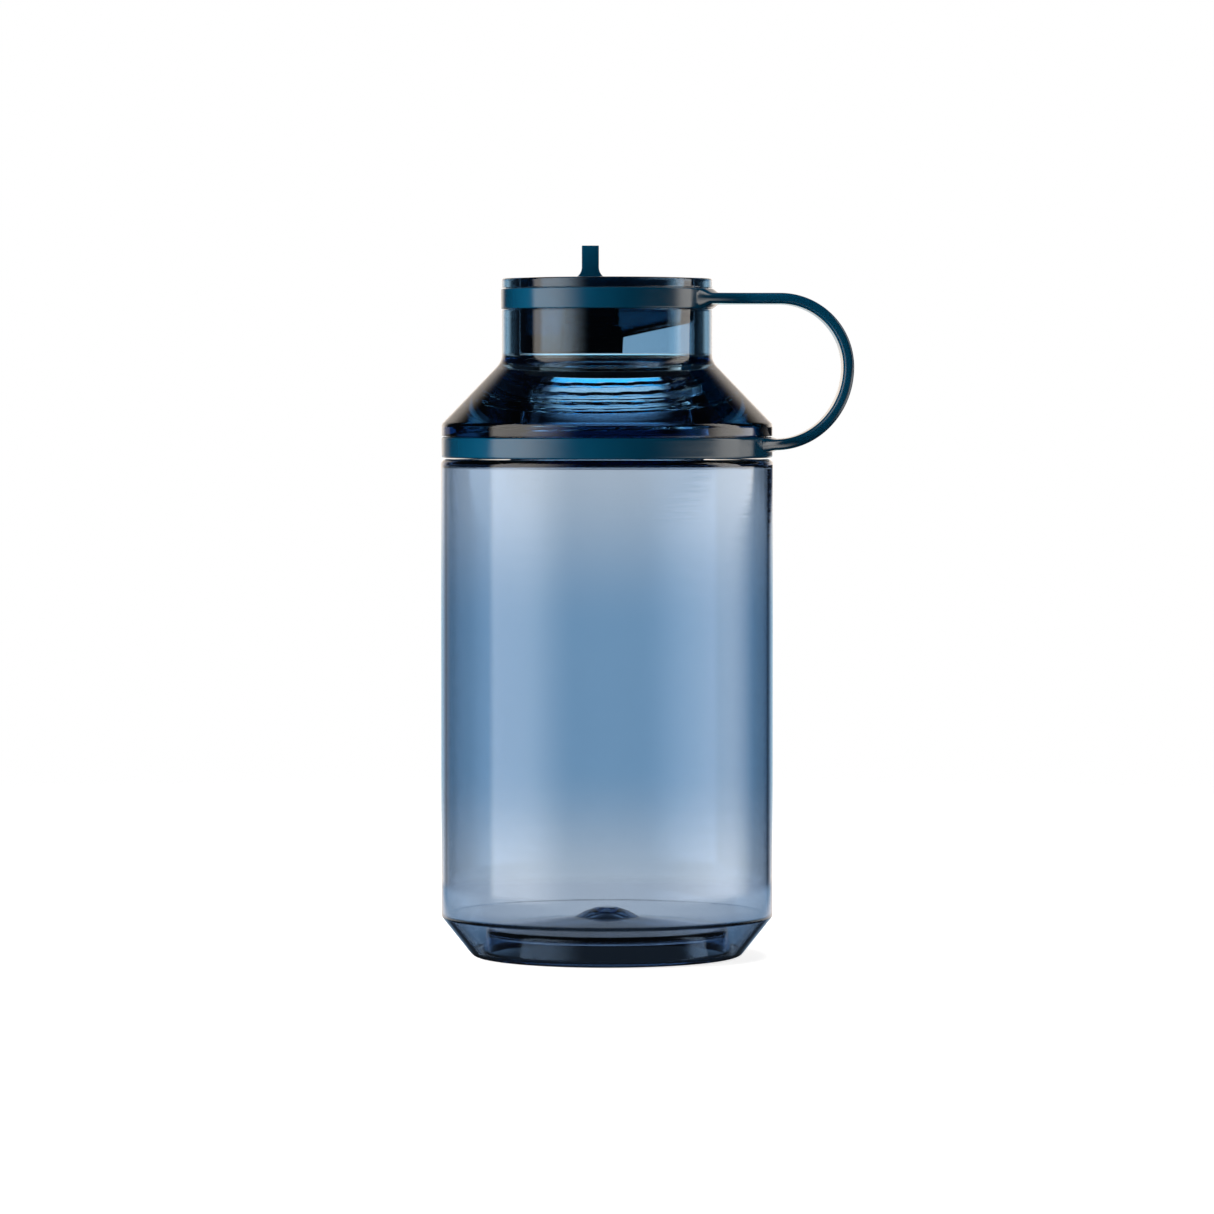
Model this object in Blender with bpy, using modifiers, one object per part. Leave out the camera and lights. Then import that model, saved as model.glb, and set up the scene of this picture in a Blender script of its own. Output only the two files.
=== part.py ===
"""Large water jug: a clear tinted bottle, a thick clear screw lid, a pull-out stopper and a silicone handle.

Metres, +Z up. The jug stands on z = 0 and the handle points to +X. The origin is under the middle of the
whole object, handle included, so the bottle's own axis stands at x = JUG_X.
Every turned piece is an outline in the XZ plane, swept about the jug's axis by a Screw modifier.
"""

import math

import bmesh
import bpy
from mathutils import Matrix, Vector

MM = 0.001
GAP = 0.3 * MM  # air left between neighbouring pieces
CUT_BEYOND = 5 * MM  # how far a cutter stands out of what it cuts
TURN_STEPS = 40  # facets round a turned piece
FILLET_CHORD = math.radians(45)  # turn of each chord along a fillet

# Bottle
BODY_R = 61.0 * MM
BODY_WALL = 1.9 * MM
SHOULDER_Z = 183.0 * MM
FOOT_TOP_Z = 14.6 * MM
FOOT_SLOPE = 0.8  # radius gained per unit of height along the foot's chamfer
FOOT_R = BODY_R - FOOT_SLOPE * FOOT_TOP_Z
FOOT_CHANNEL_Z = 2.2 * MM  # inner floor of the ring that the jug stands on
PUNT_R = 44.4 * MM  # the base is pushed up inside this radius
PUNT_Z = 11.0 * MM
PUNT_DRAFT = 1.6 * MM  # how far the punt's side leans inwards on its way up
NUB_R = 11.8 * MM  # raised button in the middle of the base
NUB_BASE_Z = 14.4 * MM
NUB_SHOULDER = (7.7 * MM, 16.6 * MM)
NUB_DRAFT = 1.4 * MM  # the button's foot is this much narrower underneath
NUB_CROWN_R = 3.4 * MM
NUB_TOP_Z = 17.9 * MM
NUB_HOLLOW = (6.0 * MM, 15.0 * MM)  # underside of the button, radius and height
NUB_HOLLOW_TOP_Z = 15.8 * MM
BASE_WALL = 2.0 * MM
LIP_Z = 209.8 * MM
MOUTH_R = 35.0 * MM
MOUTH_WALL = 2.4 * MM

# Screw thread, one start, right handed
THREAD_LEAD = 4.5 * MM
THREAD_BASE = 2.0 * MM
THREAD_CREST = 1.0 * MM
THREAD_ROOT = 0.6 * MM  # how far each ridge is sunk in its wall
BODY_THREAD_R = MOUTH_R + 1.3 * MM
BODY_THREAD_Z = 195.0 * MM
BODY_THREAD_TURNS = 2.625
LID_BORE_R = 36.9 * MM
LID_THREAD_R = LID_BORE_R - 1.4 * MM
LID_THREAD_Z = 192.8 * MM
LID_THREAD_TURNS = 1.5
THREAD_POINTS = 40  # points round one turn of a ridge
THREAD_FADE = 0.12  # part of a turn over which a ridge rises from its wall
THREAD_TIP = 0.35  # size of a ridge's tips beside its full section

# Lid: one thick moulding, bored from below for the bottle's mouth and from above for the deck
LID_Z = 183.6 * MM
SKIRT_R = 60.8 * MM
SKIRT_TOP_Z = 195.7 * MM
NECK_R = 38.6 * MM
NECK_BORE_R = 32.2 * MM
CONE_TOP_Z = 218.7 * MM
SEAT_Z = 213.3 * MM  # ledge over the mouth, where the gasket sits
BORE_LEAD_IN = 0.8 * MM
RIM_Z = 249.0 * MM

# Silicone handle
UPPER_BAND_Z = (237.8 * MM, 245.3 * MM)
UPPER_BAND_R = NECK_R + 0.3 * MM
BAND_DEPTH = 1.4 * MM
LOWER_BAND_Z = (183.4 * MM, 191.0 * MM)
STRAP_THICK = 4.0 * MM
STRAP_WIDE = 24.0 * MM
STRAP_OUT_X = 88.4 * MM  # farthest point of the strap's centre line
STRAP_MID_Z = 216.6 * MM
STRAP_TOP_Z = 241.7 * MM
STRAP_LOW_Z = 188.2 * MM
STRAP_LOW_X = 61.9 * MM  # the loop runs level again from here to the lower band
UPPER_END_X = 26.0 * MM  # the strap's ends are buried in the bands and trimmed to them
LOWER_END_X = 50.0 * MM
UPPER_FLARE_X = (54.0 * MM, 31.0 * MM)  # where the strap starts to widen, and where it is widest
LOWER_FLARE_X = (72.0 * MM, 56.5 * MM)
FLARE_WIDE = 45.0 * MM
UPPER_ROOT_THICK = 7.0 * MM
LOWER_ROOT_THICK = 5.4 * MM
ROOT_REACH = 2.5 * MM  # the strap thickens from this far outside a band to as far inside it

# Inner pieces of the lid
SEAL_IN_R = 32.6 * MM
SEAL_OUT_R = 36.5 * MM
DECK_R = NECK_BORE_R - GAP
DECK_WALL = 1.6 * MM
DECK_TOP_Z = 244.2 * MM
DECK_FLOOR_Z = 226.6 * MM
DECK_SLOPE = 0.235
DECK_SLOPE_X = -4.0 * MM  # the floor is level up to here, then rises towards +X
SPOUT_X = -6.1 * MM
SPOUT_R = 9.2 * MM
SPOUT_OUT_R = 11.4 * MM
SPOUT_Z = 231.7 * MM
BOSS_Z = 221.4 * MM  # the cup is thick under the spout: its underside is level here up to BOSS_END_X
BOSS_END_X = (5.3 * MM, 5.6 * MM)

# Stopper
COVER_R = 31.8 * MM
COVER_Z = (244.6 * MM, 249.3 * MM)
COVER_CROWN = 0.3 * MM
PLUG_SUNK = 1.0 * MM  # the plug and the tab are sunk into the cover by about this much
PLUG_R = 11.0 * MM
PLUG_TIP_R = 8.8 * MM
PLUG_STEP_Z = 232.0 * MM
PLUG_LOW_Z = 226.6 * MM
TAB_THICK = 6.25 * MM
TAB_DEEP = 17.0 * MM
TAB_TOP_Z = 261.0 * MM
TAB_FLARE = 4.4 * MM
TAB_FLARE_CHORDS = 4

JUG_X = (BODY_R - (STRAP_OUT_X + STRAP_THICK / 2)) / 2

# Part colours: base colour, roughness, alpha
CLEAR_BODY = ((0.25, 0.42, 0.62), 0.06, 0.35)
CLEAR_LID = ((0.16, 0.33, 0.55), 0.06, 0.45)
DARK_DECK = ((0.01, 0.05, 0.12), 0.08, 0.9)
SILICONE = ((0.004, 0.045, 0.085), 0.45, 1.0)
SEAL_SILICONE = ((0.01, 0.04, 0.07), 0.55, 1.0)


def clear_scene():
    for obj in list(bpy.data.objects):
        bpy.data.objects.remove(obj)


def collection(name, helpers=False):
    made = bpy.data.collections.new(name)
    bpy.context.scene.collection.children.link(made)
    made.hide_render = helpers
    return made


def material(name, finish):
    colour, roughness, alpha = finish
    made = bpy.data.materials.new(name)
    made.use_nodes = True
    shader = made.node_tree.nodes["Principled BSDF"]
    shader.inputs["Base Color"].default_value = (*colour, 1)
    shader.inputs["Roughness"].default_value = roughness
    shader.inputs["Metallic"].default_value = 0
    shader.inputs["Alpha"].default_value = alpha
    return made


def add(name, mesh, group, parent, x=0.0):
    """A new object for the mesh, standing x from its parent's axis."""
    obj = bpy.data.objects.new(name, mesh)
    group.objects.link(obj)
    obj.parent = parent
    obj.location.x = x
    return obj


def rounded(corners, closed=False):
    """An outline through (radius, height, fillet) corners, each fillet an arc of short chords."""
    points = []
    last = len(corners) - 1
    for i, (radius, height, fillet) in enumerate(corners):
        here = Vector((radius, height))
        if fillet == 0 or (not closed and i in (0, last)):
            points.append(here)
            continue
        back = (Vector(corners[i - 1][:2]) - here).normalized()
        ahead = (Vector(corners[(i + 1) % len(corners)][:2]) - here).normalized()
        half = back.angle(ahead) / 2
        centre = here + (back + ahead).normalized() * fillet / math.sin(half)
        spoke = here + back * fillet / math.tan(half) - centre
        sweep = math.copysign(math.pi - 2 * half, back.cross(ahead))
        chords = max(1, round(abs(sweep) / FILLET_CHORD))
        for k in range(chords + 1):
            points.append(centre + Matrix.Rotation(-sweep * k / chords, 2) @ spoke)
    return points


def outline_mesh(name, points, closed):
    mesh = bpy.data.meshes.new(name)
    edges = [(i, i + 1) for i in range(len(points) - 1)]
    if closed:
        edges.append((len(points) - 1, 0))
    mesh.from_pydata([(p.x, 0, p.y) for p in points], edges, [])
    return mesh


def turn(obj, steps=TURN_STEPS):
    """Sweeps the object's outline once round its own Z axis."""
    screw = obj.modifiers.new("Turn", "SCREW")
    screw.axis = "Z"
    screw.steps = screw.render_steps = steps
    screw.use_merge_vertices = True
    screw.merge_threshold = 0.00001
    screw.use_smooth_shade = True


def turned(name, corners, group, parent, x=0.0, closed=False, steps=TURN_STEPS):
    obj = add(name, outline_mesh(name, rounded(corners, closed), closed), group, parent, x)
    turn(obj, steps)
    return obj


def combine(obj, operation, other):
    """Joins the helper to the object, or cuts it away."""
    step = obj.modifiers.new(f"{operation.title()} {other.name}", "BOOLEAN")
    step.operation = operation
    step.solver = "EXACT"
    step.object = other
    other.hide_render = True
    other.display_type = "WIRE"


def finish(obj, look, sharp=35):
    """Gives a piece its material and its smooth shading."""
    obj.data.materials.append(look)
    if obj.data.polygons:
        obj.data.shade_smooth()
        obj.data.set_sharp_from_angle(angle=math.radians(sharp))


def mesh_of_curve(curve):
    """The curve as a closed mesh object in its place. The curve itself is removed."""
    bpy.context.view_layer.update()
    graph = bpy.context.evaluated_depsgraph_get()
    mesh = bpy.data.meshes.new_from_object(curve.evaluated_get(graph))
    work = bmesh.new()
    work.from_mesh(mesh)
    bmesh.ops.remove_doubles(work, verts=work.verts, dist=0.000001)
    bmesh.ops.recalc_face_normals(work, faces=work.faces)
    work.to_mesh(mesh)
    work.free()
    obj = bpy.data.objects.new(curve.name + "_solid", mesh)
    curve.users_collection[0].objects.link(obj)
    obj.parent = curve.parent
    obj.matrix_world = curve.matrix_world
    bpy.data.objects.remove(curve)
    return obj


def swept(name, path, section, twist, group, parent, radii=None):
    """A solid with the closed section swept along the path. The section's y axis starts upright."""
    shape = bpy.data.curves.new(name + "_section", "CURVE")
    loop = shape.splines.new("POLY")
    loop.points.add(len(section) - 1)
    for point, (across, up) in zip(loop.points, section):
        point.co = (across, up, 0, 1)
    loop.use_cyclic_u = True
    shape_obj = add(name + "_section", shape, group, parent)
    shape_obj.hide_render = True
    curve = bpy.data.curves.new(name, "CURVE")
    curve.dimensions = "3D"
    curve.twist_mode = twist
    curve.bevel_mode = "OBJECT"
    curve.bevel_object = shape_obj
    curve.use_fill_caps = True
    line = curve.splines.new("POLY")
    line.points.add(len(path) - 1)
    for i, (point, place) in enumerate(zip(line.points, path)):
        point.co = (*place, 1)
        point.radius = radii[i] if radii else 1.0
    solid = mesh_of_curve(add(name, curve, group, parent))
    bpy.data.objects.remove(shape_obj)
    return solid


def thread_ridge(name, wall_r, crest_r, start_z, turns, group, parent):
    """A helical ridge on a wall. It rises out of the wall at its start and sinks back at its end."""
    outward = math.copysign(1, crest_r - wall_r)
    root, crest = -THREAD_ROOT, abs(crest_r - wall_r)
    section = [
        (outward * root, -THREAD_BASE / 2),
        (outward * crest, -THREAD_CREST / 2),
        (outward * crest, THREAD_CREST / 2),
        (outward * root, THREAD_BASE / 2),
    ]
    count = round(turns * THREAD_POINTS)
    path, radii = [], []
    for i in range(count + 1):
        turned_by = turns * i / count
        angle = 2 * math.pi * (turned_by + start_z / THREAD_LEAD)
        path.append((wall_r * math.cos(angle), wall_r * math.sin(angle), start_z + THREAD_LEAD * turned_by))
        risen = min(turned_by, turns - turned_by) / THREAD_FADE
        radii.append(min(1.0, THREAD_TIP + (1 - THREAD_TIP) * risen))
    return swept(name, path, section, "Z_UP", group, parent, radii)


def bottle_body(parts, helpers, parent):
    inner_r = BODY_R - BODY_WALL
    foot_shift = BODY_WALL * math.hypot(1, FOOT_SLOPE)  # the chamfer's wall, measured along the radius
    inner_foot_z = FOOT_TOP_Z + (foot_shift - BODY_WALL) / FOOT_SLOPE
    corners = [
        (0, NUB_TOP_Z, 0),
        (NUB_CROWN_R, NUB_TOP_Z, 0),
        (*NUB_SHOULDER, 0),
        (NUB_R, NUB_BASE_Z, 0),
        (PUNT_R, PUNT_Z, 2.0 * MM),
        (PUNT_R + PUNT_DRAFT, FOOT_CHANNEL_Z, 0),
        (FOOT_R + FOOT_SLOPE * FOOT_CHANNEL_Z - foot_shift, FOOT_CHANNEL_Z, 0),
        (inner_r, inner_foot_z, 0),
        (inner_r, SHOULDER_Z - BODY_WALL, 0),
        (MOUTH_R - MOUTH_WALL, SHOULDER_Z - BODY_WALL, 0),
        (MOUTH_R - MOUTH_WALL, LIP_Z, 0),
        (MOUTH_R, LIP_Z, 0.8 * MM),
        (MOUTH_R, SHOULDER_Z, 1.5 * MM),
        (BODY_R, SHOULDER_Z, 2.2 * MM),
        (BODY_R, FOOT_TOP_Z, 1.5 * MM),
        (FOOT_R, 0, 3.0 * MM),
        (PUNT_R, 0, 0.8 * MM),
        (PUNT_R - PUNT_DRAFT, PUNT_Z - BASE_WALL, 1.5 * MM),
        (NUB_R - NUB_DRAFT, NUB_BASE_Z - BASE_WALL, 0),
        (*NUB_HOLLOW, 0),
        (0, NUB_HOLLOW_TOP_Z, 0),
    ]
    body = turned("bottle_body", corners, parts, parent)
    ridge = thread_ridge(
        "body_thread", MOUTH_R, BODY_THREAD_R, BODY_THREAD_Z, BODY_THREAD_TURNS, helpers, parent
    )
    combine(body, "UNION", ridge)
    finish(body, material("clear_bottle", CLEAR_BODY))
    return body


def screw_lid(parts, helpers, parent):
    groove = UPPER_BAND_R - BAND_DEPTH - GAP
    low_groove = SKIRT_R - BAND_DEPTH - GAP
    corners = [
        (NECK_BORE_R, RIM_Z, 0.6 * MM),
        (NECK_R, RIM_Z, 0.5 * MM),
        (NECK_R, UPPER_BAND_Z[1] + GAP, 0),
        (groove, UPPER_BAND_Z[1] + GAP, 0),
        (groove, UPPER_BAND_Z[0] - GAP, 0),
        (NECK_R, UPPER_BAND_Z[0] - GAP, 0),
        (NECK_R, CONE_TOP_Z, 6.5 * MM),
        (SKIRT_R, SKIRT_TOP_Z, 2.2 * MM),
        (SKIRT_R, LOWER_BAND_Z[1] + GAP, 0),
        (low_groove, LOWER_BAND_Z[1] + GAP, 0),
        (low_groove, LID_Z, 0),
        (LID_BORE_R + BORE_LEAD_IN, LID_Z, 0),
        (LID_BORE_R, LID_Z + BORE_LEAD_IN, 0),
        (LID_BORE_R, SEAT_Z, 0),
        (NECK_BORE_R, SEAT_Z, 0),
    ]
    lid = turned("screw_lid", corners, parts, parent, closed=True)
    ridge = thread_ridge(
        "lid_thread", LID_BORE_R, LID_THREAD_R, LID_THREAD_Z, LID_THREAD_TURNS, helpers, parent
    )
    ridge.rotation_euler.z = math.pi  # half a turn, so it runs midway between the turns of the bottle's ridge
    combine(lid, "UNION", ridge)
    finish(lid, material("clear_lid", CLEAR_LID))
    return lid


def lid_gasket(parts, parent):
    low, high = LIP_Z + GAP, SEAT_Z - GAP
    corners = [(SEAL_IN_R, high, 0), (SEAL_OUT_R, high, 0), (SEAL_OUT_R, low, 0), (SEAL_IN_R, low, 0)]
    gasket = turned("lid_gasket", corners, parts, parent, closed=True)
    finish(gasket, material("seal_silicone", SEAL_SILICONE))
    return gasket


def deck_floor_z(x):
    return DECK_FLOOR_Z + DECK_SLOPE * max(0.0, x - DECK_SLOPE_X)


def deck_underside_z(x):
    if x < sum(BOSS_END_X) / 2:
        return BOSS_Z
    return deck_floor_z(x) - DECK_WALL


def shaped_column(name, radius, bottom_z, high_z, bends, group, parent):
    """A cylinder whose bottom follows bottom_z(x), which may only change its slope at the bends."""
    work = bmesh.new()
    bmesh.ops.create_cone(work, cap_ends=True, segments=TURN_STEPS, radius1=radius, radius2=radius, depth=high_z)
    for bend in bends:
        bmesh.ops.bisect_plane(
            work,
            geom=work.verts[:] + work.edges[:] + work.faces[:],
            plane_co=(bend, 0, 0),
            plane_no=(1, 0, 0),
        )
    for vert in work.verts:
        vert.co.z = high_z if vert.co.z > 0 else bottom_z(vert.co.x)
    mesh = bpy.data.meshes.new(name)
    work.to_mesh(mesh)
    work.free()
    return add(name, mesh, group, parent)


def drink_deck(parts, helpers, parent):
    """A cup in the lid's neck: its floor slopes down to a short spout, and is thick under it."""
    deck = shaped_column("drink_deck", DECK_R, deck_underside_z, DECK_TOP_Z, BOSS_END_X, parts, parent)
    room_top = DECK_TOP_Z + CUT_BEYOND
    room = shaped_column(
        "deck_room", DECK_R - DECK_WALL, deck_floor_z, room_top, (DECK_SLOPE_X,), helpers, parent
    )
    combine(deck, "DIFFERENCE", room)
    sunk = DECK_FLOOR_Z - DECK_WALL / 2
    collar_corners = [(0, SPOUT_Z, 0), (SPOUT_OUT_R, SPOUT_Z, 0.5 * MM), (SPOUT_OUT_R, sunk, 0), (0, sunk, 0)]
    collar = turned("spout_collar", collar_corners, helpers, parent, SPOUT_X, steps=32)
    combine(deck, "UNION", collar)
    low, high = BOSS_Z - CUT_BEYOND, SPOUT_Z + CUT_BEYOND
    hole_corners = [(0, high, 0), (SPOUT_R, high, 0), (SPOUT_R, low, 0), (0, low, 0)]
    hole = turned("spout_hole", hole_corners, helpers, parent, SPOUT_X, steps=32)
    combine(deck, "DIFFERENCE", hole)
    finish(deck, material("dark_deck", DARK_DECK))
    return deck


def tab_outline():
    """The pull tab seen from the front: a post whose foot flares out on both sides."""
    half, foot = TAB_THICK / 2, TAB_FLARE
    base_z = COVER_Z[1] + COVER_CROWN - PLUG_SUNK
    side = [(half, TAB_TOP_Z)]
    for k in range(TAB_FLARE_CHORDS + 1):
        a = math.radians(90) * k / TAB_FLARE_CHORDS
        side.append((half + foot * (1 - math.cos(a)), base_z + foot * (1 - math.sin(a))))
    return side + [(-x, z) for x, z in reversed(side)]


def pull_tab(helpers, parent):
    curve = bpy.data.curves.new("pull_tab", "CURVE")
    curve.dimensions = "2D"
    curve.fill_mode = "BOTH"
    curve.extrude = TAB_DEEP / 2
    outline = tab_outline()
    line = curve.splines.new("POLY")
    line.points.add(len(outline) - 1)
    for point, (across, up) in zip(line.points, outline):
        point.co = (across, up, 0, 1)
    line.use_cyclic_u = True
    flat = add("pull_tab", curve, helpers, parent, SPOUT_X)
    flat.rotation_euler.x = math.radians(90)
    tab = mesh_of_curve(flat)
    tab.data.transform(tab.matrix_local)
    tab.location = tab.rotation_euler = (0, 0, 0)
    edge = tab.modifiers.new("Soft edges", "BEVEL")
    edge.width = 0.5 * MM
    edge.segments = 1
    edge.limit_method = "ANGLE"
    edge.angle_limit = math.radians(60)
    return tab


def stopper(parts, helpers, parent):
    """Cover disc, plug and pull tab in one moulding, standing on the spout's axis."""
    low, high = COVER_Z
    cover_corners = [
        (0, high + COVER_CROWN, 0),
        (COVER_R, high, 0.9 * MM),
        (COVER_R, low, 0.6 * MM),
        (0, low, 0),
    ]
    cover = turned("stopper", cover_corners, parts, parent)
    plug_corners = [
        (0, low + PLUG_SUNK, 0),
        (PLUG_R, low + PLUG_SUNK, 0),
        (PLUG_R, PLUG_STEP_Z, 0.4 * MM),
        (PLUG_TIP_R, PLUG_STEP_Z, 0),
        (PLUG_TIP_R, PLUG_LOW_Z, 0.8 * MM),
        (0, PLUG_LOW_Z, 0),
    ]
    plug = turned("stopper_plug", plug_corners, helpers, parent, SPOUT_X, steps=32)
    combine(cover, "UNION", plug)
    combine(cover, "UNION", pull_tab(helpers, parent))
    finish(cover, material("stopper_silicone", SILICONE))
    return cover


def strap_path():
    """The strap's centre line: out from the upper band, round the loop, and back to the lower band."""
    flare_start, _ = UPPER_FLARE_X
    level_steps, bend_steps, end_steps = 8, 8, 3
    points = []
    for k in range(level_steps + 1):
        points.append((UPPER_END_X + (flare_start - UPPER_END_X) * k / level_steps, 0, STRAP_TOP_Z))
    upper = STRAP_TOP_Z - STRAP_MID_Z
    for k in range(bend_steps + 1):
        a = math.radians(90) * (1 - k / bend_steps)
        points.append((STRAP_OUT_X - upper + upper * math.cos(a), 0, STRAP_MID_Z + upper * math.sin(a)))
    across, lower = STRAP_OUT_X - STRAP_LOW_X, STRAP_MID_Z - STRAP_LOW_Z
    for k in range(1, bend_steps + 1):
        a = math.radians(90) * k / bend_steps
        points.append((STRAP_LOW_X + across * math.cos(a), 0, STRAP_MID_Z - lower * math.sin(a)))
    for k in range(1, end_steps + 1):
        points.append((STRAP_LOW_X + (LOWER_END_X - STRAP_LOW_X) * k / end_steps, 0, STRAP_LOW_Z))
    return points


def strap_section():
    """Rounded rectangle: across is the strap's width along Y, up is its thickness."""
    half_w, half_t = STRAP_WIDE / 2, STRAP_THICK / 2
    corner = 1.5 * MM
    points = []
    for sx, sy, first in ((1, 1, 0), (-1, 1, 90), (-1, -1, 180), (1, -1, 270)):
        for k in range(3):
            a = math.radians(first + 45 * k)
            points.append(
                (sx * (half_w - corner) + corner * math.cos(a), sy * (half_t - corner) + corner * math.sin(a))
            )
    return points


def share(value, start, end):
    """How far the value has come from start to end, from 0 to 1."""
    return min(1.0, max(0.0, (value - start) / (end - start)))


def flare_roots(mesh):
    """Widens the strap in a curve, and thickens it, where it runs into each band."""
    for vert in mesh.vertices:
        if vert.co.z > STRAP_MID_Z:
            flare, band_r, centre_z, thick = UPPER_FLARE_X, UPPER_BAND_R, STRAP_TOP_Z, UPPER_ROOT_THICK
        else:
            flare, band_r, centre_z, thick = LOWER_FLARE_X, SKIRT_R, STRAP_LOW_Z, LOWER_ROOT_THICK
        root = share(vert.co.x, band_r + ROOT_REACH, band_r - ROOT_REACH)
        if root > 0:
            vert.co.z = centre_z + (vert.co.z - centre_z) * (1 + (thick / STRAP_THICK - 1) * root)
        vert.co.y *= 1 + (FLARE_WIDE / STRAP_WIDE - 1) * share(vert.co.x, *flare) ** 2


def carry_handle(parts, helpers, parent):
    """Both bands and the strap between them, moulded as one piece."""
    (up_low, up_high), (down_low, down_high) = UPPER_BAND_Z, LOWER_BAND_Z
    ring = [
        (UPPER_BAND_R - BAND_DEPTH, up_high, 0),
        (UPPER_BAND_R, up_high, 0.4 * MM),
        (UPPER_BAND_R, up_low, 0.4 * MM),
        (UPPER_BAND_R - BAND_DEPTH, up_low, 0),
    ]
    upper = turned("upper_band", ring, helpers, parent, closed=True)
    ring = [
        (SKIRT_R - BAND_DEPTH, down_high, 0),
        (SKIRT_R, down_high, 0),
        (SKIRT_R, down_low, 1.0 * MM),
        (SKIRT_R - BAND_DEPTH, down_low, 0),
    ]
    lower = turned("lower_band", ring, helpers, parent, closed=True)
    strap = swept("strap", strap_path(), strap_section(), "MINIMUM", parts, parent)
    strap.name = "carry_handle"
    flare_roots(strap.data)
    for name, radius, low, high in (
        ("upper_core", UPPER_BAND_R - BAND_DEPTH / 2, up_low, up_high),
        ("lower_core", SKIRT_R - BAND_DEPTH / 2, down_low, down_high),
    ):
        low, high = low - CUT_BEYOND, high + CUT_BEYOND
        core = turned(name, [(0, high, 0), (radius, high, 0), (radius, low, 0), (0, low, 0)], helpers, parent)
        combine(strap, "DIFFERENCE", core)
    combine(strap, "UNION", upper)
    combine(strap, "UNION", lower)
    finish(strap, material("handle_silicone", SILICONE))
    return strap


def axis_empty(name, parent=None):
    empty = bpy.data.objects.new(name, None)
    bpy.context.scene.collection.objects.link(empty)
    empty.parent = parent
    return empty


def build():
    clear_scene()
    parts = collection("water_jug")
    helpers = collection("cutters", helpers=True)
    jug_axis = axis_empty("jug_axis")
    jug_axis.location.x = JUG_X
    lid_axis = axis_empty("lid_axis", jug_axis)
    bottle_body(parts, helpers, jug_axis)
    lid_gasket(parts, lid_axis)
    screw_lid(parts, helpers, lid_axis)
    drink_deck(parts, helpers, lid_axis)
    carry_handle(parts, helpers, lid_axis)
    stopper(parts, helpers, lid_axis)


build()
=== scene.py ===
"""The looks of the large water jug: fine turned pieces, clear tinted plastic and satin silicone.

Every piece is built about the jug's axis in metres, +Z up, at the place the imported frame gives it.
The frame's coarse solids are hidden, and each fine piece rides on the same body as the solid it replaces.
"""

import math

import bmesh
import bpy
import numpy as np
from mathutils import Matrix, Vector


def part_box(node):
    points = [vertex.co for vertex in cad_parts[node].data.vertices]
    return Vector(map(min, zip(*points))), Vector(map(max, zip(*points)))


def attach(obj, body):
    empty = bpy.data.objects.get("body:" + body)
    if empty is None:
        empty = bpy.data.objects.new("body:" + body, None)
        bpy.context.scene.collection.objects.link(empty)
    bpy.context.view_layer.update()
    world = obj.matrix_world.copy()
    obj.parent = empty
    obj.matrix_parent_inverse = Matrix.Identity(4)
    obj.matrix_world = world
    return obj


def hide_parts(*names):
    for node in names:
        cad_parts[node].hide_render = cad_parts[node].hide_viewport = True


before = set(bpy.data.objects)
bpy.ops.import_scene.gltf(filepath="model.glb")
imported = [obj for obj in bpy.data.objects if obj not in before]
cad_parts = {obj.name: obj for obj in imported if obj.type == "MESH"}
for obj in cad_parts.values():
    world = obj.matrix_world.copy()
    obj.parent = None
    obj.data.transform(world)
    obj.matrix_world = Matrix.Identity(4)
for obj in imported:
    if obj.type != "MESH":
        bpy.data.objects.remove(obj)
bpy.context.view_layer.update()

MM = 0.001

# Fineness of the turned pieces
STEPS = 192
FILLET_CHORD = math.radians(9)
SHARP_ANGLE = math.radians(32)
HOLD = 0.35 * MM  # a row this close to each end of a straight run keeps its shading flat
ROW_PITCH = 7 * MM
THREAD_PITCH = 0.22 * MM
DECK_STEPS = 160
SPOUT_STEPS = 96
ON_WALL = 0.01 * MM  # how close to a threaded wall's radius a point must be to be part of it
WELD = 0.001 * MM
CUT_MARGIN = 5.0 * MM
FINE_EDGE = 0.15 * MM

# What the frame gives: the jug's axis and the main heights and radii
BOTTLE_LOW, BOTTLE_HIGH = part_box("bottle_body")
LID_LOW, LID_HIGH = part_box("screw_lid")
GASKET_LOW, GASKET_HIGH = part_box("lid_gasket")
DECK_LOW, DECK_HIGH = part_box("drink_deck")
STOPPER_LOW, STOPPER_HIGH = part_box("stopper")
_, HANDLE_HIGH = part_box("carry_handle")
JUG_X = (BOTTLE_LOW.x + BOTTLE_HIGH.x) / 2
BODY_R = (BOTTLE_HIGH.x - BOTTLE_LOW.x) / 2
LIP_Z = BOTTLE_HIGH.z
SKIRT_R = (LID_HIGH.x - LID_LOW.x) / 2
RIM_Z = LID_HIGH.z
LID_Z = LID_LOW.z
SEAL_OUT_R = (GASKET_HIGH.x - GASKET_LOW.x) / 2
DECK_R = (DECK_HIGH.x - DECK_LOW.x) / 2
COVER_R = (STOPPER_HIGH.x - STOPPER_LOW.x) / 2
STRAP_FAR_X = HANDLE_HIGH.x - JUG_X

# Bottle
BODY_WALL = 1.9 * MM
SHOULDER_Z = 183.0 * MM
FOOT_TOP_Z = 14.6 * MM
FOOT_SLOPE = 0.8
FOOT_R = BODY_R - FOOT_SLOPE * FOOT_TOP_Z
FOOT_CHANNEL_Z = 2.2 * MM
PUNT_R = 44.4 * MM
PUNT_Z = 11.0 * MM
PUNT_DRAFT = 1.6 * MM
NUB_R = 11.8 * MM
NUB_BASE_Z = 14.4 * MM
NUB_TOP_Z = 17.9 * MM
BASE_WALL = 2.0 * MM
MOUTH_R = 35.0 * MM
MOUTH_WALL = 2.4 * MM

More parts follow.
